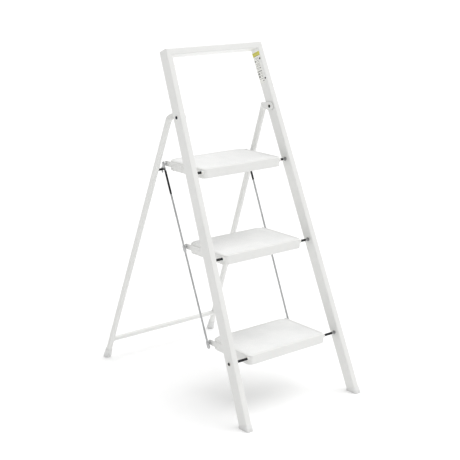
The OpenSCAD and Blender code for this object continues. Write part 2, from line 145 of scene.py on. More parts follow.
UP = Vector((0, 0, 1))

# The leaning plane of the rear frame, and the centreline of its right leg.
cross, stud = middle("lower_rear_crossbar"), middle("catch_studs")
LEG_LEAN = atan2(cross.y - stud.y, stud.z - cross.z)
REAR = shift(0, cross.y + cross.z * tan(LEG_LEAN), 0) @ turn(LEG_LEAN, "X")
leg_bottom = min(point.z for point in corners("right_rear_leg"))
leg_ring = [point.x for point in corners("right_rear_leg") if point.z < leg_bottom + 0.01 * MM]
bottom_x, stud_x = halfway(leg_ring), reach("catch_studs")[1] + LEG_R / 2
LEG_SPLAY = atan((bottom_x - stud_x) / (stud.z - leg_bottom) * cos(LEG_LEAN))
LEG = REAR @ shift(bottom_x + leg_bottom / cos(LEG_LEAN) * tan(LEG_SPLAY), 0, 0) @ turn(-LEG_SPLAY, "Y")
pivot_in_rear = REAR.inverted() @ PIVOT

# The line of the right link, with local Z = 0 on the top link pin.
LINK = shift(LINK_X, JOINT["right_link_swing"].y, PIN["top"].z) @ turn(-LEAN, "X")
EYE_UP = {step: (PIN[step].z - PIN["top"].z) / cos(LEAN) for step in STEPS}

# ---- materials ----


def node_of(tree, kind, **settings):
    """A shader node; a setting of a plain value goes to its input, and a socket is linked."""
    node = tree.nodes.new(kind)
    for key, value in settings.items():
        name = key.replace("_", " ")
        if isinstance(value, bpy.types.NodeSocket):
            tree.links.new(value, node.inputs[name])
        elif name in node.inputs:
            node.inputs[name].default_value = value
        else:
            setattr(node, key, value)
    return node


def noise(tree, place, scale, detail=3.0, roughness=0.5):
    return node_of(
        tree, "ShaderNodeTexNoise", Vector=place, Scale=scale, Detail=detail, Roughness=roughness
    ).outputs["Fac"]


def ramp(tree, factor, stops):
    """Colours or greys along a factor, from (position, value) stops."""
    node = node_of(tree, "ShaderNodeValToRGB", Fac=factor)
    elements = node.color_ramp.elements
    while len(elements) < len(stops):
        elements.new(0.5)
    for element, (position, value) in zip(elements, stops):
        element.position = position
        colour = (value,) * 3 if isinstance(value, float) else value
        element.color = (*colour, 1)
    return node.outputs["Color"]


def mixed(tree, factor, first, second):
    node = node_of(tree, "ShaderNodeMix", data_type="RGBA")
    for index, value in ((0, factor), (6, first), (7, second)):
        if isinstance(value, bpy.types.NodeSocket):
            tree.links.new(value, node.inputs[index])
        else:
            node.inputs[index].default_value = value if index == 0 else (*value, 1)
    return node.outputs[2]


def bumped(tree, height, distance, strength=1.0, under=None):
    node = node_of(tree, "ShaderNodeBump", Height=height, Distance=distance, Strength=strength)
    if under:
        tree.links.new(under, node.inputs["Normal"])
    return node.outputs["Normal"]


def new_material(name, stretch=(1, 1, 1)):
    """An empty material: its tree, its shader and the stretched object coordinates."""
    material = bpy.data.materials.new(name)
    material.use_nodes = True
    tree = material.node_tree
    place = tree.nodes.new("ShaderNodeTexCoord").outputs["Object"]
    stretched = node_of(tree, "ShaderNodeMapping", Vector=place, Scale=stretch)
    return material, tree, tree.nodes["Principled BSDF"], stretched.outputs["Vector"]


def connect(tree, shader, colour, roughness, normal):
    tree.links.new(colour, shader.inputs["Base Color"])
    tree.links.new(roughness, shader.inputs["Roughness"])
    tree.links.new(normal, shader.inputs["Normal"])


def white_coat():
    """Baked powder coat: orange peel, a faint cloudiness and sparse dust pits."""
    material, tree, shader, place = new_material("white_coat")
    cloud = noise(tree, place, 9, 4, 0.6)
    colour = ramp(tree, cloud, [(0.3, (0.803, 0.805, 0.788)), (0.7, (0.836, 0.837, 0.821))])
    pits = ramp(tree, noise(tree, place, 1400, 2), [(0.24, 0.0), (0.3, 1.0)])
    colour = mixed(tree, pits, (0.78, 0.78, 0.77), colour)
    gloss = ramp(tree, noise(tree, place, 45, 4, 0.65), [(0.3, 0.3), (0.72, 0.42)])
    peel = bumped(tree, noise(tree, place, 520, 2, 0.45), 0.06 * MM)
    wave = bumped(tree, noise(tree, place, 38, 1), 0.25 * MM, 0.6, peel)
    connect(tree, shader, colour, gloss, wave)
    shader.inputs["Specular IOR Level"].default_value = 0.45
    return material


def tread_rubber():
    """Light grey non-slip rubber, finely grained, a little darker where it has been trodden."""
    material, tree, shader, place = new_material("tread_rubber")
    wear = noise(tree, place, 16, 5, 0.6)
    worn = ramp(tree, wear, [(0.35, (0.83, 0.834, 0.828)), (0.65, (0.88, 0.88, 0.872))])
    speckle = ramp(tree, noise(tree, place, 2300, 2, 0.7), [(0.32, 0.0), (0.42, 1.0)])
    colour = mixed(tree, speckle, (0.72, 0.725, 0.72), worn)
    rough = ramp(tree, noise(tree, place, 60, 3), [(0.3, 0.62), (0.7, 0.8)])
    grain = bumped(tree, noise(tree, place, 1500, 3, 0.6), 0.1 * MM)
    connect(tree, shader, colour, rough, grain)
    return material


def foot_plastic():
    """Moulded light grey plastic with a spark-eroded texture, darker in noise patches near the floor."""
    material, tree, shader, place = new_material("foot_plastic")
    cloud = noise(tree, place, 70, 4)
    body = ramp(tree, cloud, [(0.3, (0.77, 0.772, 0.765)), (0.7, (0.815, 0.817, 0.81))])
    # Darker grey in noise patches at the floor, fading out by 12 mm up.
    height = node_of(tree, "ShaderNodeSeparateXYZ", Vector=place).outputs["Z"]
    above = node_of(tree, "ShaderNodeMapRange", Value=height, From_Min=0.0, From_Max=12 * MM)
    marks = ramp(tree, noise(tree, place, 420, 5, 0.7), [(0.4, 0.0), (0.6, 1.0)])
    keep = node_of(tree, "ShaderNodeMath", operation="MAXIMUM")
    tree.links.new(above.outputs["Result"], keep.inputs[0])
    tree.links.new(marks, keep.inputs[1])
    colour = mixed(tree, keep.outputs[0], (0.66, 0.66, 0.65), body)
    rough = ramp(tree, noise(tree, place, 150, 3), [(0.3, 0.5), (0.7, 0.64)])
    grain = bumped(tree, noise(tree, place, 1900, 2, 0.6), 0.07 * MM)
    connect(tree, shader, colour, rough, grain)
    return material


def black_steel():
    """Black oxide on steel, rubbed through in fine specks and turning marks."""
    material, tree, shader, place = new_material("black_steel")
    cloud = noise(tree, place, 240, 4)
    body = ramp(tree, cloud, [(0.3, (0.006, 0.006, 0.007)), (0.7, (0.016, 0.016, 0.018))])
    rub = ramp(tree, noise(tree, place, 900, 6, 0.75), [(0.62, 0.0), (0.72, 1.0)])
    colour = mixed(tree, rub, body, (0.12, 0.12, 0.125))
    rough = ramp(tree, noise(tree, place, 400, 3), [(0.3, 0.42), (0.7, 0.6)])
    grain = bumped(tree, noise(tree, place, 2600, 2), 0.02 * MM)
    connect(tree, shader, colour, rough, grain)
    shader.inputs["Specular IOR Level"].default_value = 0.25
    return material


def zinc_steel(name, shade):
    """Zinc-plated steel of a given grey: drawing lines, lighter patches and small stains."""
    material, tree, shader, place = new_material(name, (1, 1, 0.06))
    patch = node_of(tree, "ShaderNodeTexVoronoi", Vector=place, Scale=170.0).outputs["Color"]
    grey = node_of(tree, "ShaderNodeRGBToBW", Color=patch).outputs["Val"]
    dark, light = (shade, shade * 1.01, shade * 1.02), (shade * 1.24, shade * 1.25, shade * 1.26)
    body = ramp(tree, grey, [(0.2, dark), (0.8, light)])
    stain = ramp(tree, noise(tree, place, 500, 5, 0.7), [(0.3, 0.0), (0.5, 1.0)])
    colour = mixed(tree, stain, (shade * 0.8, shade * 0.8, shade * 0.79), body)
    rough = ramp(tree, noise(tree, place, 260, 4), [(0.3, 0.34), (0.7, 0.52)])
    lines = bumped(tree, noise(tree, place, 3200, 2), 0.02 * MM)
    connect(tree, shader, colour, rough, lines)
    shader.inputs["Metallic"].default_value = 0.6
    return material


def pale_nylon():
    """Cream nylon, slightly cloudy and waxy."""
    material, tree, shader, place = new_material("pale_nylon")
    colour = ramp(tree, noise(tree, place, 160, 4), [(0.3, (0.8, 0.795, 0.765)), (0.7, (0.86, 0.855, 0.825))])
    rough = ramp(tree, noise(tree, place, 300, 3), [(0.3, 0.36), (0.7, 0.5)])
    grain = bumped(tree, noise(tree, place, 1600, 2), 0.03 * MM)
    connect(tree, shader, colour, rough, grain)
    shader.inputs["Subsurface Weight"].default_value = 0.1
    shader.inputs["Subsurface Scale"].default_value = 1 * MM
    return material


def film(name, light, dark):
    """Printed film: a thin gloss layer over ink that varies a little."""
    material, tree, shader, place = new_material(name)
    colour = ramp(tree, noise(tree, place, 120, 4), [(0.3, dark), (0.7, light)])
    rough = ramp(tree, noise(tree, place, 700, 3), [(0.3, 0.16), (0.7, 0.3)])
    creases = bumped(tree, noise(tree, place, 90, 3), 0.06 * MM)
    connect(tree, shader, colour, rough, creases)
    shader.inputs["Coat Weight"].default_value = 0.4
    return material


def studio_floor():
    material, tree, shader, place = new_material("studio_floor")
    colour = ramp(tree, noise(tree, place, 3, 2), [(0.3, (0.93, 0.93, 0.93)), (0.7, (0.95, 0.95, 0.95))])
    rough = ramp(tree, noise(tree, place, 8, 2), [(0.3, 0.7), (0.7, 0.8)])
    grain = bumped(tree, noise(tree, place, 300, 2), 0.1 * MM)
    connect(tree, shader, colour, rough, grain)
    shader.inputs["Emission Color"].default_value = (1, 1, 1, 1)
    shader.inputs["Emission Strength"].default_value = 0.12
    return material


LOOK = {
    "white_coat": white_coat(),
    "tread_rubber": tread_rubber(),
    "foot_plastic": foot_plastic(),
    "black_steel": black_steel(),
    "zinc_steel": zinc_steel("zinc_steel", 0.48),
    "dull_zinc": zinc_steel("dull_zinc", 0.3),
    "pale_nylon": pale_nylon(),
    "label_film": film("label_film", (0.86, 0.86, 0.82), (0.82, 0.82, 0.78)),
    "label_band": film("label_band", (0.66, 0.62, 0.045), (0.58, 0.54, 0.04)),
    "label_ink": film("label_ink", (0.26, 0.26, 0.25), (0.2, 0.2, 0.19)),
}

# ---- mesh tools ----


def rounded(width, depth, radius, steps=8):
    """Outline of a rounded rectangle, anticlockwise."""
    outline = []
    for quarter in range(4):
        corner_x = (width / 2 - radius) * (1, -1, -1, 1)[quarter]
        corner_y = (depth / 2 - radius) * (1, 1, -1, -1)[quarter]
        for step in range(steps + 1):
            angle = (quarter + step / steps) * pi / 2
            outline.append((corner_x + radius * cos(angle), corner_y + radius * sin(angle)))
    return outline


def stadium(half_thick, half_wide, steps=10):
    """Outline with round ends, its radius a hair under full so that no side is left without length."""
    return rounded(2 * half_thick, 2 * half_wide, min(half_thick, half_wide) * 0.999, steps)


def circle(radius, sides=40):
    return [(radius * cos(2 * pi * k / sides), radius * sin(2 * pi * k / sides)) for k in range(sides)]


def cut_ring(place, outline, point, normal):
    """The outline, extruded along local Z of a place, where it meets a plane."""
    way = place.to_3x3() @ UP
    ring = []
    for u, v in outline:
        start = place @ Vector((u, v, 0))
        ring.append(start + way * ((point - start).dot(normal) / way.dot(normal)))
    return ring


def moulded_ring(place, outline, lip_up, share):
    """A ring at a share of the way from the level floor up to a lip square to the tube."""
    way = (place.to_3x3() @ UP).normalized()
    floor_ring = cut_ring(place, outline, Vector((0, 0, 0)), UP)
    lip_ring = cut_ring(place, outline, place @ Vector((0, 0, lip_up)), way)
    return [low.lerp(high, share) for low, high in zip(floor_ring, lip_ring)]


class Shape:
    """Points and faces of one piece, gathered from lofts and lathes."""

    def __init__(self):
        self.points = []
        self.faces = []

    def loft(self, rings, closed=False):
        """Joins rings of equally many points; the ends are capped unless the loft closes on itself."""
        base, count = len(self.points), len(rings[0])
        for ring in rings:
            self.points += [Vector(point) for point in ring]
        spans = len(rings) if closed else len(rings) - 1
        for k in range(spans):
            near, far = base + k * count, base + (k + 1) % len(rings) * count
            for i in range(count):
                j = (i + 1) % count
                self.faces.append((near + i, near + j, far + j, far + i))
        if not closed:
            last = base + (len(rings) - 1) * count
            self.faces.append(tuple(base + i for i in reversed(range(count))))
            self.faces.append(tuple(last + i for i in range(count)))
        return self

    def lathe(self, place, profile, closed=False, sides=48):
        """Turns a profile of (height, radius) points round the local Z of a place."""
        rings = []
        for height, radius in profile:
            rings.append([place @ Vector((x, y, height)) for x, y in circle(radius, sides)])
        return self.loft(rings, closed)

    def bead(self, path, radius, sides=10):
        """A closed round bead along a loop of points, with a radius that may vary along it."""
        rings = []
        centre = sum(path, Vector()) / len(path)
        for k, point in enumerate(path):
            way = (path[(k + 1) % len(path)] - path[k - 1]).normalized()
            out = (point - centre) - way * (point - centre).dot(way)
            out.normalize()
            side = way.cross(out)
            size = radius(k / len(path))
            rings.append([point + size * (out * x + side * y) for x, y in circle(1, sides)])
        return self.loft(rings, True)

    def mirrored(self):
        """The same shape on the left side."""
        other = Shape()
        other.points = [Vector((-point.x, point.y, point.z)) for point in self.points]
        other.faces = list(self.faces)
        return other

    def join(self, other):
        """Adds the points and faces of another shape."""
        base = len(self.points)
        self.points += other.points
        self.faces += [tuple(base + i for i in face) for face in other.faces]
        return self

    def both_sides(self):
        return self.join(self.mirrored())


def finish_mesh(obj, body, slot, look, nodes, sharp):
    """Smooth shading with crisp edges, then the piece's material (its look, else its slot's), its body, and
    its CAD nodes hidden.
    """
    obj.data.shade_smooth()
    obj.data.set_sharp_from_angle(angle=radians(sharp))
    even = obj.modifiers.new("even_shading", "WEIGHTED_NORMAL")
    even.keep_sharp = True
    even.weight = 100
    obj.data.materials.clear()
    obj.data.materials.append(LOOK[look or slot])
    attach(obj, body)
    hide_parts(*nodes)
    return obj


def piece(name, shape, body, slot, nodes=(), look=None, sharp=38):
    mesh = bpy.data.meshes.new(name)
    mesh.from_pydata(shape.points, [], shape.faces)
    work = bmesh.new()
    work.from_mesh(mesh)
    bmesh.ops.remove_doubles(work, verts=work.verts, dist=MERGE)
    bmesh.ops.recalc_face_normals(work, faces=work.faces)
    work.to_mesh(mesh)
    work.free()
    obj = bpy.data.objects.new(name, mesh)
    bpy.context.scene.collection.objects.link(obj)
    return finish_mesh(obj, body, slot, look, nodes, sharp)


def eased_plate(node, body, slot, width=0.35 * MM):
    """A flat CAD plate with every sharp edge eased by a fine bevel."""
    work = bmesh.new()
    work.from_mesh(frame["nodes"][node].data)
    bmesh.ops.remove_doubles(work, verts=work.verts, dist=MERGE)
    bmesh.ops.dissolve_limit(
        work, angle_limit=radians(0.5), verts=work.verts, edges=work.edges, use_dissolve_boundaries=False
    )
    mesh = bpy.data.meshes.new(f"{node}_eased")
    work.to_mesh(mesh)
    work.free()
    obj = bpy.data.objects.new(f"{node}_eased", mesh)
    bpy.context.scene.collection.objects.link(obj)
    ease = obj.modifiers.new("ease", "BEVEL")
    ease.width, ease.segments = width, 2
    ease.limit_method, ease.angle_limit = "ANGLE", radians(40)
    return finish_mesh(obj, body, slot, None, [node], 38)


def dome(height, radius, rise, steps=7):
    """Profile of a round head that starts at a height and closes on the axis."""
    arc = [k / steps * pi / 2 for k in range(1, steps + 1)]
    return [(height, radius)] + [(height + rise * sin(a), radius * cos(a)) for a in arc]


def eased_head(base, radius, rise, ease=0.2 * MM):
    """Profile of a round head with an eased rim, from the axis at its base to its crown."""
    rim = 0.3 * MM if rise > 0 else -0.3 * MM
    return [(base, 0), (base, radius - ease)] + dome(base + rim, radius, rise - rim)


def plug(start, end, radius):
    """Profile of a plain round bar."""
    return [(start, 0), (start, radius), (end, radius), (end, 0)]


def eased_ring(start, end, inner, outer, ease):
    """Closed profile of a ring with eased outer edges."""
    part_way, part_r = ease * 0.3, outer - ease * 0.3
    return [
        (start, inner), (start, outer - ease), (start + part_way, part_r), (start + ease, outer),
        (end - ease, outer), (end - part_way, part_r), (end, outer - ease), (end, inner),
    ]


# ---- front frame ----

TUBE_OUTLINE = rounded(TUBE_W, TUBE_D, TUBE_R)
SEAM_OUTLINE = rounded(TUBE_W - 2 * SEAM, TUBE_D - 2 * SEAM, TUBE_R - SEAM)


def side_tube():
    """The right side tube, from its boot up to the mitre."""
    return Shape().loft([
        cut_ring(STILE, TUBE_OUTLINE, Vector((0, 0, SOLE)), UP),
        cut_ring(STILE, TUBE_OUTLINE, MITRE + MITRE_NORMAL * SEAM, MITRE_NORMAL),
        cut_ring(STILE, SEAM_OUTLINE, MITRE, MITRE_NORMAL),
    ])


def rail_tube():
    """The grip rail between both mitres, with a fine groove left at each seam."""
    flip = Vector((-1, 1, 1))
    left_mitre, left_normal = MITRE * flip, MITRE_NORMAL * flip
    return Shape().loft([
        cut_ring(RAIL, SEAM_OUTLINE, left_mitre, left_normal),
        cut_ring(RAIL, TUBE_OUTLINE, left_mitre - left_normal * SEAM, left_normal),
        cut_ring(RAIL, TUBE_OUTLINE, MITRE - MITRE_NORMAL * SEAM, MITRE_NORMAL),
        cut_ring(RAIL, SEAM_OUTLINE, MITRE, MITRE_NORMAL),
    ])


def front_boot():
    """A push-on boot: eased sole, a moulding line and a rounded lip that closes on the tube."""
    profile = [
        (0, 0.6), (0.02, 0.2), (0.05, 0), (0.2, 0), (0.22, 0.45), (0.27, 0.45), (0.29, 0.1),
        (0.6, 0.45), (0.9, 0.85), (0.97, 1.05), (1, 1.4), (1, 1.95), (0.9, 2.1),
    ]
    rings = []
    for share, inset in profile:
        trim = inset * MM
        wide, deep = TUBE_W + 2 * BOOT_WALL - 2 * trim, TUBE_D + 2 * BOOT_WALL - 2 * trim
        outline = rounded(wide, deep, max(BOOT_R - trim, MM))
        rings.append(moulded_ring(STILE, outline, BOOT_H, share))
    return Shape().loft(rings)


for side, sign in SIDES:
    tube, boot = side_tube(), front_boot()
    if sign < 0:
        tube, boot = tube.mirrored(), boot.mirrored()
    piece(f"{side}_side_tube", tube, "front_frame", "white_coat", [f"{side}_stile"])
    piece(f"{side}_boot_moulding", boot, "front_frame", "foot_plastic", [f"{side}_front_boot"])
piece("grip_rail_tube", rail_tube(), "front_frame", "white_coat", ["top_rail"])

# Hinge pins: a collar inside the tray, a black shaft, then a bare end in a grey seat.
for step in STEPS:
    place = along_x(0, PIN[step].y, PIN[step].z)
    start, end = reach(f"{step}_step_pins")
    inner, outer = reach(f"{step}_pin_seats")
    bare_from = inner - BARE_PIN_L
    shaft = Shape().lathe(place, [
        (start, 0), (start, PIN_R), (bare_from - 0.4 * MM, PIN_R),
        (bare_from, PIN_R - 0.3 * MM), (bare_from, 0),
    ])
    collar = eased_ring(start, start + COLLAR_T, PIN_R, COLLAR_R, 0.4 * MM)[1:-1]
    shaft.lathe(place, [(start, 0)] + collar + [(start + COLLAR_T, 0)])
    bare = Shape().lathe(place, plug(bare_from, end - 0.4 * MM, BARE_PIN_R))
    piece(f"{step}_bare_pin_ends", bare.both_sides(), "front_frame", "zinc_steel", look="dull_zinc")
    if step == "lower":
        ring_from = end - OUTER_STACK
        head_from = ring_from + OUTER_RING_T
        shaft.lathe(place, eased_head(head_from, OUTER_HEAD_R, end - head_from))
        ring = Shape().lathe(place, eased_ring(ring_from, head_from, PIN_R, OUTER_RING_R, 0.25 * MM), True)
        piece("outer_pin_rings", ring.both_sides(), "front_frame", "pale_nylon")
    piece(f"{step}_hinge_pins", shaft.both_sides(), "front_frame", "black_steel", [f"{step}_step_pins"])
    seat = Shape().lathe(place, eased_ring(inner, outer, BARE_PIN_R, SEAT_R, 0.6 * MM), True).both_sides()
    piece(f"{step}_seat_rings", seat, "front_frame", "zinc_steel", [f"{step}_pin_seats"], "dull_zinc")

# Pivots of the rear legs: a rivet with two heads, and washers inside, between and outside.
pivot_place = along_x(0, PIVOT.y, PIVOT.z)
inner, outer = reach("leg_pivot_rivets")
inner_face, outer_face = inner + INNER_HEAD_T, outer - OUTER_HEAD_T
rivet = Shape().lathe(pivot_place, plug(inner_face, outer_face, RIVET_R))
rivet.lathe(pivot_place, eased_head(outer_face + WASHER_T, RIVET_HEAD_R, OUTER_HEAD_T - WASHER_T))
rivet.lathe(pivot_place, eased_head(inner_face, RIVET_HEAD_R, -INNER_HEAD_T, 0.3 * MM))
piece("pivot_rivets", rivet.both_sides(), "front_frame", "black_steel", ["leg_pivot_rivets"])
washers = Shape()
for start, radius in (
    (inner_face, WASHER_R), (PADDLE_X + PADDLE_T + WASHER_GAP, WASHER_R), (outer_face, OUTER_WASHER_R),
):
    washers.lathe(pivot_place, eased_ring(start, start + WASHER_T, RIVET_R, radius, 0.2 * MM), True)
piece("pivot_spacers", washers.both_sides(), "front_frame", "pale_nylon", ["pivot_washers"])

# Small screws in cups on the inside of the side tubes, one above the other.
screw_points = [STILE.inverted() @ point for point in corners("grip_screws") if point.x > 0]
parted = halfway([point.z for point in screw_points])
heads, cups = Shape(), Shape()
for group in (
    [point for point in screw_points if point.z < parted],
    [point for point in screw_points if point.z > parted],
):
    fore, up = halfway([point.y for point in group]), halfway([point.z for point in group])
    place = STILE @ along_x(-TUBE_W / 2, fore, up)
    heads.lathe(place, [(0, 0), (0, SCREW_R)] + dome(-SCREW_CUP_T, SCREW_R, SCREW_CUP_T - SCREW_HEAD_T))
    cup = eased_ring(-SCREW_CUP_T, 0.2 * MM, SCREW_R - 0.2 * MM, SCREW_CUP_R, 0.25 * MM)
    cups.lathe(place, cup, True, 32)
piece("grip_screw_heads", heads.both_sides(), "front_frame", "black_steel", ["grip_screws"])
piece("grip_screw_cups", cups.both_sides(), "front_frame", "pale_nylon")

label_points = [STILE.inverted() @ point for point in corners("side_label")]
label_face = min(point.x for point in label_points)
label_rear = max(point.y for point in label_points)
band_fore = min(point.y for point in label_points)
label_low, label_top = min(point.z for point in label_points), max(point.z for point in label_points)
field_fore = min(point.y for point in label_points if point.z < label_top - BAND_H - MM)


def film_patch(shape, fore, rear, low, high, lift, radius=0.8 * MM):
    """A thin flat patch on the inside face of the right side tube."""
    outline = rounded(rear - fore, high - low, min(radius, (high - low) / 2.02), 4)
    y, z = (fore + rear) / 2, (low + high) / 2
    back, face = label_face + LABEL_T, label_face - lift
    rings = [[STILE @ Vector((x, y + u, z + v)) for u, v in outline] for x in (back, face)]
    return shape.loft(rings)


piece("label_field", film_patch(Shape(), field_fore, label_rear, label_low, label_top - BAND_H, 0),
      "front_frame", "label_film", ["side_label"])
piece("label_band", film_patch(Shape(), band_fore, label_rear, label_top - BAND_H, label_top, 0),
      "front_frame", "label_film", look="label_band")

# Blank marks stand for the printing: thin lines, blocks and one heavy bar. Each one has its
# distance below the band, its height and its front and rear ends, as shares of the pale field.
marks = Shape()
field_w, field_h = label_rear - field_fore, label_top - BAND_H - label_low
for down, height, fore, rear in (
    (0.05, 0.012, 0.08, 0.80), (0.09, 0.012, 0.08, 0.66), (0.14, 0.05, 0.62, 0.90),
    (0.15, 0.012, 0.08, 0.50), (0.20, 0.012, 0.08, 0.46), (0.26, 0.012, 0.08, 0.88),
    (0.30, 0.012, 0.08, 0.74), (0.34, 0.012, 0.08, 0.86), (0.40, 0.05, 0.10, 0.30),
    (0.41, 0.012, 0.40, 0.92), (0.45, 0.012, 0.40, 0.80), (0.53, 0.032, 0.03, 0.97),
    (0.60, 0.07, 0.55, 0.90), (0.60, 0.012, 0.08, 0.44), (0.64, 0.012, 0.08, 0.40),
    (0.70, 0.07, 0.60, 0.90), (0.71, 0.012, 0.08, 0.48), (0.75, 0.012, 0.08, 0.42),
    (0.82, 0.012, 0.08, 0.90), (0.89, 0.04, 0.08, 0.30),
):
    high = label_top - BAND_H - down * field_h
    mark_fore, mark_rear = field_fore + fore * field_w, field_fore + rear * field_w
    film_patch(marks, mark_fore, mark_rear, high - height * field_h, high, INK_T, INK_R)
for down, height in ((0.3, 0.8 * MM), (0.8, 1.6 * MM)):
    high = label_top - down * BAND_H
    film_patch(marks, band_fore + 5 * MM, label_rear - 4 * MM, high - height, high, INK_T, INK_R)
piece("label_marks", marks, "front_frame", "label_film", look="label_ink")

# ---- rear frame ----


def rear_leg():
    """A round tube that jogs inwards, closes up flat at its neck and ends in a rounded paddle."""
    neck_up = pivot_in_rear.z - NECK_DOWN
    start = LEG @ Vector((0, 0, neck_up / cos(LEG_SPLAY)))
    start_way = LEG.to_3x3() @ UP
    mid_x = PADDLE_X + PADDLE_T / 2
    elbow = REAR @ Vector((mid_x, pivot_in_rear.y + ELBOW_BACK, pivot_in_rear.z - ELBOW_DOWN))
    pivot = REAR @ Vector((mid_x, pivot_in_rear.y, pivot_in_rear.z))
    end_way = (pivot - elbow).normalized()
    handle = 0.36 * (elbow - start).length
    a, b, c, d = start, start + start_way * handle, elbow - end_way * handle, elbow

    def station(centre, way, half_thick, half_wide):
        flat = Vector((1, 0, 0)) - way * way.x
        flat.normalize()
        wide = way.cross(flat)
        return [centre + flat * u + wide * v for u, v in stadium(half_thick, half_wide)]

    rings = [
        cut_ring(LEG, stadium(LEG_R, LEG_R), Vector((0, 0, SOLE)), UP),
        station(start, start_way, LEG_R, LEG_R),
    ]
    steps = 16
    for k in range(1, steps + 1):
        t = k / steps
        centre = a * (1 - t) ** 3 + b * 3 * t * (1 - t) ** 2 + c * 3 * t * t * (1 - t) + d * t ** 3
        way = (b - a) * (1 - t) ** 2 + (c - b) * 2 * t * (1 - t) + (d - c) * t * t
        close = t * t * (3 - 2 * t)
        thick = LEG_R + (PADDLE_T / 2 - LEG_R) * close
        rings.append(station(centre, way.normalized(), thick, LEG_R))
    for share in (0.25, 0.5, 0.75, 1):
        wide = LEG_R + (PADDLE_R - LEG_R) * share
        rings.append(station(elbow.lerp(pivot, share), end_way, PADDLE_T / 2, wide))
    for degrees in range(10, 90, 8):
        angle = radians(degrees)
        thick = PADDLE_T / 2 * min(1, 0.55 + (90 - degrees) / 40)
        rings.append(station(pivot + end_way * PADDLE_R * sin(angle), end_way, thick, PADDLE_R * cos(angle)))
    return Shape().loft(rings)


def rear_foot():
    """A push-on foot: a wider sole ring, two shallow grip grooves and a lip that closes on the tube."""
    wall_r = LEG_R + LEG_WALL
    sole_r, groove_r = wall_r + LEG_RING, wall_r - 0.35 * MM
    profile = [
        (0, sole_r - 0.7 * MM), (0.012, sole_r - 0.25 * MM), (0.03, sole_r), (0.4, sole_r),
        (0.425, sole_r - 0.3 * MM), (0.435, wall_r),
        (0.56, wall_r), (0.575, groove_r), (0.6, groove_r), (0.615, wall_r),
        (0.72, wall_r), (0.735, groove_r), (0.76, groove_r), (0.775, wall_r),
        (0.95, wall_r), (0.985, groove_r),
        (1, wall_r - 1 * MM), (1, LEG_R + 0.05 * MM), (0.96, LEG_R - 0.1 * MM),
    ]
    return Shape().loft([moulded_ring(LEG, circle(radius, 56), FOOT_H, share) for share, radius in profile])


def crossbar_weld():
    """A lumpy weld bead where the crossbar meets the right leg."""
    axis = (LEG.to_3x3() @ UP).normalized()
    foot = LEG @ Vector((0, 0, 0))
    path = []
    count = 56
    for k in range(count):
        angle = 2 * pi * k / count
        y, z = cross.y + CROSSBAR_R * cos(angle) - foot.y, cross.z + CROSSBAR_R * sin(angle) - foot.z
        along = axis.y * y + axis.z * z
        a, half_b, c = 1 - axis.x ** 2, -axis.x * along, y * y + z * z - along ** 2 - LEG_R ** 2
        x = (-half_b - sqrt(half_b ** 2 - a * c)) / a
        path.append(foot + Vector((x, y, z)))
    return Shape().bead(path, lambda share: BEAD_R + BEAD_RIPPLE * sin(2 * pi * BEAD_RIPPLES * share))


for side, sign in SIDES:
    leg, foot = rear_leg(), rear_foot()
    if sign < 0:
        leg, foot = leg.mirrored(), foot.mirrored()
    piece(f"{side}_leg_tube", leg, "rear_frame", "white_coat", [f"{side}_rear_leg"])
    piece(f"{side}_foot_moulding", foot, "rear_frame", "foot_plastic", [f"{side}_rear_foot"])
cross_x = (LEG @ Vector((0, 0, cross.z / cos(LEG_LEAN)))).x
bar = Shape().lathe(along_x(0, cross.y, cross.z), plug(-cross_x, cross_x, CROSSBAR_R))
piece("crossbar_tube", bar, "rear_frame", "white_coat", ["lower_rear_crossbar"])
piece("crossbar_welds", crossbar_weld().both_sides(), "rear_frame", "white_coat")
inner, outer = reach("catch_studs")
stud_shape = Shape().lathe(along_x(0, stud.y, stud.z), [
    (inner, 0), (inner, STUD_R - 0.8 * MM), (inner + 0.15 * MM, STUD_R - 0.35 * MM),
    (inner + 0.6 * MM, STUD_R), (outer, STUD_R), (outer, 0),
])
piece("hook_studs", stud_shape.both_sides(), "rear_frame", "black_steel", ["catch_studs"])

# ---- treads ----

# All treads are alike, so their sizes come from the lower one, measured from its hinge pins.
TRAY_LOW, TRAY_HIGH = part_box("lower_tray")
TREAD_HALF = TRAY_HIGH.x
TREAD_FRONT, TREAD_REAR = TRAY_LOW.y - PIN["lower"].y, TRAY_HIGH.y - PIN["lower"].y
DROP, RISE = PIN["lower"].z - TRAY_LOW.z, TRAY_HIGH.z - PIN["lower"].z
MAT_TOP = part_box("lower_tread_mat")[1].z - PIN["lower"].z


def tread_outline(inset, steps=16):
    """Plan of a tread, anticlockwise, from the hinge line."""
    half, front, rear = TREAD_HALF - inset, TREAD_FRONT + inset, TREAD_REAR - inset
    outline = []
    for quarter, (x, y, radius) in enumerate((
        (1, rear, REAR_R), (-1, rear, REAR_R), (-1, front, FRONT_R), (1, front, FRONT_R),
    )):
        radius = max(radius - inset, MM)
        centre_x = x * (half - radius)
        centre_y = y - radius if quarter < 2 else y + radius
        for k in range(steps + 1):
            angle = (quarter + k / steps) * pi / 2
            outline.append((centre_x + radius * cos(angle), centre_y + radius * sin(angle)))
    return outline


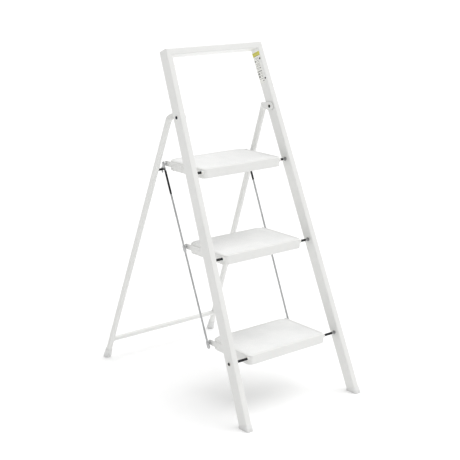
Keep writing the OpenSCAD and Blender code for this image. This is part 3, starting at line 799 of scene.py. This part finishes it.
def pan_profile():
    """Section of the pressed pan, as (inset, height), from under the panel round to its top."""
    floor = RISE - RECESS
    under = floor - SHEET
    inner_bend, hem_up, top_bend, lip_bend = 2 * MM, 6 * MM, 3 * MM, 1.2 * MM
    arc = [k / 6 * pi / 2 for k in range(7)]
    section = [(SHEET + inner_bend * (1 - sin(a)), under - inner_bend * (1 - cos(a))) for a in arc]
    section += [
        (SHEET, hem_up - DROP), (2 * SHEET - 0.3 * MM, hem_up - DROP), (2 * SHEET, hem_up - 0.4 * MM - DROP),
    ]
    hem = [k / 8 * pi for k in range(9)]
    section += [(SHEET * (1 + cos(a)), SHEET * (1 - sin(a)) - DROP) for a in hem]
    section += [(top_bend * (1 - cos(a)), RISE - top_bend * (1 - sin(a))) for a in arc]
    fall = [k / 6 for k in range(7)]
    section += [(RIM_W - lip_bend + lip_bend * 1.2 * f, RISE - RECESS * f * f * (3 - 2 * f)) for f in fall]
    return section


def tray_pan(step):
    """The pressed pan with a boss for the bush in each front corner."""
    origin = PIN[step]
    rings = []
    for inset, height in pan_profile():
        rings.append([origin + Vector((x, y, height)) for x, y in tread_outline(inset)])
    boss = eased_ring(TREAD_HALF - BOSS_L, TREAD_HALF, BUSH_R, BOSS_R, 0.5 * MM)
    bosses = Shape().lathe(along_x(0, origin.y, origin.z), boss, True).both_sides()
    return Shape().loft(rings).join(bosses)


MAT_INSET = RIM_W + MAT_GAP
MAT_HALF, MAT_FRONT, MAT_REAR = TREAD_HALF - MAT_INSET, TREAD_FRONT + MAT_INSET, TREAD_REAR - MAT_INSET
MAT_FRONT_R, MAT_REAR_R = FRONT_R - MAT_INSET, REAR_R - MAT_INSET
RIBBED = MAT_REAR - MAT_FRONT - 2 * RIB_BORDER
RIBS = round(RIBBED / (5 * MM))
RIB_PITCH = RIBBED / RIBS
GROOVE_FROM, GROOVE_TO = 0.28, 0.72
RIB_STEPS = (0, 0.14, GROOVE_FROM, 0.5, GROOVE_TO, 0.86)


def mat_half_width(y):
    """Half the width of the mat, at a distance from the hinge line."""
    for edge, radius in ((MAT_FRONT, MAT_FRONT_R), (MAT_REAR, MAT_REAR_R)):
        away = abs(y - edge)
        if away < radius:
            return MAT_HALF - radius + sqrt(max(0, radius ** 2 - (radius - away) ** 2))
    return MAT_HALF


def mat_groove(y):
    """Depth of the mat's surface below its top, at a distance from the hinge line."""
    place = (y - MAT_FRONT - RIB_BORDER) / RIB_PITCH
    if not 0 < place < RIBS:
        return 0
    share = place % 1
    return RIB_DEPTH * (1 - abs(2 * share - 1)) ** 0.5 if GROOVE_FROM < share < GROOVE_TO else 0


def mat_rows():
    """Distances from the hinge line where the mat has a row of points."""
    rows = {MAT_FRONT + RIB_BORDER + (k + share) * RIB_PITCH for k in range(RIBS) for share in RIB_STEPS}
    rows |= {MAT_REAR - RIB_BORDER, MAT_FRONT + 0.5 * MM, MAT_REAR - 0.5 * MM}
    rows |= {MAT_FRONT + MAT_FRONT_R * (1 - cos(k / 7 * pi / 2)) for k in range(8)}
    rows |= {MAT_REAR - MAT_REAR_R * (1 - cos(k / 14 * pi / 2)) for k in range(15)}
    rows = sorted(rows)
    return [y for k, y in enumerate(rows) if k == 0 or y - rows[k - 1] > 0.02 * MM]


def ribbed_mat(step):
    """A mat with low ribs across the tread, inside a flat border with an eased edge."""
    rows = mat_rows()
    top, bottom = MAT_TOP, MAT_TOP - MAT_T
    from_edge = (0, 0.5 * MM, RIB_BORDER, RIB_BORDER + 0.6 * MM)
    mat = Shape()
    for y in rows:
        wide = mat_half_width(y)
        at_end = y in (rows[0], rows[-1])
        sides = [(wide - away, MAT_EASE if away == 0 or at_end else 0) for away in from_edge[:3]]
        inner = wide - from_edge[3]
        depth = MAT_EASE if at_end else mat_groove(y)
        line = sides + [(inner * (1 - k / 6), depth) for k in range(13)]
        line += [(-x, d) for x, d in reversed(sides)]
        mat.points += [PIN[step] + Vector((x, y, top - d)) for x, d in line]
    across = len(line)
    for i in range(len(rows) - 1):
        for j in range(across - 1):
            a = i * across + j
            mat.faces.append((a, a + 1, a + across + 1, a + across))
    last = (len(rows) - 1) * across
    edge = list(range(across)) + [i * across + across - 1 for i in range(1, len(rows))]
    edge += [last + j for j in range(across - 2, -1, -1)] + [i * across for i in range(len(rows) - 2, 0, -1)]
    base = len(mat.points)
    mat.points += [Vector((mat.points[i].x, mat.points[i].y, PIN[step].z + bottom)) for i in edge]
    for k, index in enumerate(edge):
        following = (k + 1) % len(edge)
        mat.faces.append((index, edge[following], base + following, base + k))
    mat.faces.append(tuple(base + k for k in range(len(edge))))
    return mat


for step in STEPS:
    body = f"{step}_step"
    pin_place = along_x(0, PIN[step].y, PIN[step].z)
    link_place = along_x(0, PIN[step].y + LINK_REACH, PIN[step].z)
    piece(f"{step}_tray_pan", tray_pan(step), body, "white_coat", [f"{step}_tray"])
    piece(f"{step}_ribbed_mat", ribbed_mat(step), body, "tread_rubber", [f"{step}_tread_mat"], sharp=50)

    inner, outer = reach(f"{step}_pin_bushes")
    bore, flange_from = PIN_R + 0.1 * MM, outer - FLANGE_T
    bush = Shape().lathe(pin_place, [
        (inner, bore), (inner, BUSH_R), (flange_from, BUSH_R), (flange_from, FLANGE_R - 0.2 * MM),
        (flange_from + 0.2 * MM, FLANGE_R), (outer - 0.6 * MM, FLANGE_R),
        (outer - 0.2 * MM, FLANGE_R - 0.2 * MM), (outer, FLANGE_R - 0.6 * MM),
        (outer, bore + 0.3 * MM), (outer - 0.3 * MM, bore),
    ], True)
    piece(f"{step}_flanged_bushes", bush.both_sides(), body, "pale_nylon", [f"{step}_pin_bushes"])

    eased_plate(f"{step}_link_brackets", body, "white_coat")
    low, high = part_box(f"{step}_bracket_rivets")
    inner, outer = reach(f"{step}_bracket_rivets")
    outer_base, inner_base = outer - BRACKET_HEAD_T, inner + BRACKET_HEAD_T
    rivets = Shape()
    for y in (low.y + BRACKET_HEAD_R, high.y - BRACKET_HEAD_R):
        place = along_x(0, y, PIN[step].z)
        rivets.lathe(place, plug(inner_base, outer_base, BRACKET_RIVET_R))
        rivets.lathe(place, [(outer_base, 0)] + dome(outer_base, BRACKET_HEAD_R, BRACKET_HEAD_T), sides=32)
        rivets.lathe(place, [(inner_base, 0)] + dome(inner_base, BRACKET_HEAD_R, -BRACKET_HEAD_T), sides=32)
    piece(f"{step}_domed_rivets", rivets.both_sides(), body, "white_coat", [f"{step}_bracket_rivets"])

    inner, outer = reach(f"{step}_link_pins")
    head_base = outer - LINK_HEAD_T
    shoulder_end = LINK_X - PLATE_T / 2 - 0.3 * MM
    link_pin = Shape().lathe(link_place, plug(inner, head_base, LINK_PIN_R))
    link_pin.lathe(link_place, [
        (inner, 0), (inner, SHOULDER_R - 0.3 * MM), (inner + 0.3 * MM, SHOULDER_R),
        (TREAD_HALF, SHOULDER_R), (TREAD_HALF, 0),
    ])
    shoulder = eased_ring(TREAD_HALF + BRACKET_T, shoulder_end, LINK_PIN_R, SHOULDER_R, 0.25 * MM)
    link_pin.lathe(link_place, shoulder, True)
    link_pin.lathe(link_place, [(head_base, 0)] + dome(head_base, LINK_HEAD_R, LINK_HEAD_T))
    piece(f"{step}_shouldered_pins", link_pin.both_sides(), body, "zinc_steel", [f"{step}_link_pins"])

# ---- links ----


def ups_of(node):
    """Heights of a CAD node's corners along the link."""
    inverse = LINK.inverted()
    return [(inverse @ point).z for point in corners(node)]


def link_rods():
    """Two drawn rods whose ends are pressed to the thickness of the flat eyes."""
    ups = ups_of("right_link_rods")
    parted = EYE_UP["middle"]
    press = 9 * MM
    shape = Shape()
    for part in ([up for up in ups if up < parted], [up for up in ups if up > parted]):
        bottom, top = min(part), max(part)
        rings = []
        for up, flat in (
            (bottom, 1), (bottom + 0.35 * press, 0.9), (bottom + 0.7 * press, 0.3), (bottom + press, 0),
            (top - press, 0), (top - 0.7 * press, 0.3), (top - 0.35 * press, 0.9), (top, 1),
        ):
            thick = ROD_R + (PLATE_T / 2 - ROD_R) * flat
            wide = ROD_R + 1.4 * MM * flat
            rings.append([LINK @ Vector((u, v, up)) for u, v in stadium(thick, wide, 8)])
        shape.loft(rings)
    return shape


def rod_sleeve():
    """A thin dark sleeve with two shallow grooves round each end."""
    ups = ups_of("right_rod_sleeve")
    low, high = min(ups), max(ups)
    end = [(0, SLEEVE_R - 0.2 * MM), (0.3 * MM, SLEEVE_R)]
    for groove in (3 * MM, 6 * MM):
        for along, inset in ((0, 0), (0.4, 0.15), (1.6, 0.15), (2, 0)):
            end.append((groove + along * MM, SLEEVE_R - inset * MM))
    profile = [(low, ROD_R - 0.2 * MM)]
    profile += [(low + along, radius) for along, radius in end]
    profile += [(high - along, radius) for along, radius in reversed(end)]
    profile.append((high, ROD_R - 0.2 * MM))
    return Shape().lathe(LINK, profile, True, 32)


for side, sign in SIDES:
    body = f"{side}_link"
    rods, sleeve = link_rods(), rod_sleeve()
    if sign < 0:
        rods, sleeve = rods.mirrored(), sleeve.mirrored()
    piece(f"{side}_drawn_rods", rods, body, "zinc_steel", [f"{side}_link_rods"])
    piece(f"{side}_grooved_sleeve", sleeve, body, "black_steel", [f"{side}_rod_sleeve"])
    eased_plate(f"{side}_link_eyes", body, "zinc_steel")
    eased_plate(f"{side}_catch_hook", body, "zinc_steel")

# ---- studio ----

CAMERA_PLACE = (-2.0482, -2.5616, 1.3668)
CAMERA_YAW, CAMERA_PITCH = radians(38.84), radians(15.11)
LENS, SENSOR = 85.04, 36
SUN_TOWARDS, SUN_STRENGTH, SUN_SPREAD = (0.35, -0.15, 1), 1.9, radians(70)
SKY_STRENGTH = 0.55
FLOOR_SIZE = 80


def soft_sun(towards, strength, spread):
    """A wide sun that shines from a direction, so that its shadows stay faint."""
    data = bpy.data.lights.new("soft_sun", "SUN")
    data.energy = strength
    data.angle = spread
    lamp = bpy.data.objects.new("soft_sun", data)
    lamp.rotation_euler = Vector(towards).to_track_quat("Z", "Y").to_euler()
    bpy.context.scene.collection.objects.link(lamp)


def studio():
    """A pale floor, an even white sky, one soft sun and the camera."""
    bpy.ops.mesh.primitive_grid_add(x_subdivisions=4, y_subdivisions=4, size=FLOOR_SIZE)
    floor = bpy.context.object
    floor.name = "studio_floor"
    floor.data.materials.append(studio_floor())
    world = bpy.data.worlds.new("soft_sky")
    world.use_nodes = True
    sky = world.node_tree.nodes["Background"]
    sky.inputs["Color"].default_value = (1, 1, 1, 1)
    sky.inputs["Strength"].default_value = SKY_STRENGTH
    bpy.context.scene.world = world
    soft_sun(SUN_TOWARDS, SUN_STRENGTH, SUN_SPREAD)
    camera_data = bpy.data.cameras.new("camera")
    camera_data.lens = LENS
    camera_data.sensor_width = SENSOR
    camera = bpy.data.objects.new("camera", camera_data)
    camera.location = CAMERA_PLACE
    camera.rotation_euler = (pi / 2 - CAMERA_PITCH, 0, -CAMERA_YAW)
    bpy.context.scene.collection.objects.link(camera)
    bpy.context.scene.camera = camera
    bpy.context.scene.view_settings.view_transform = "Standard"


studio()
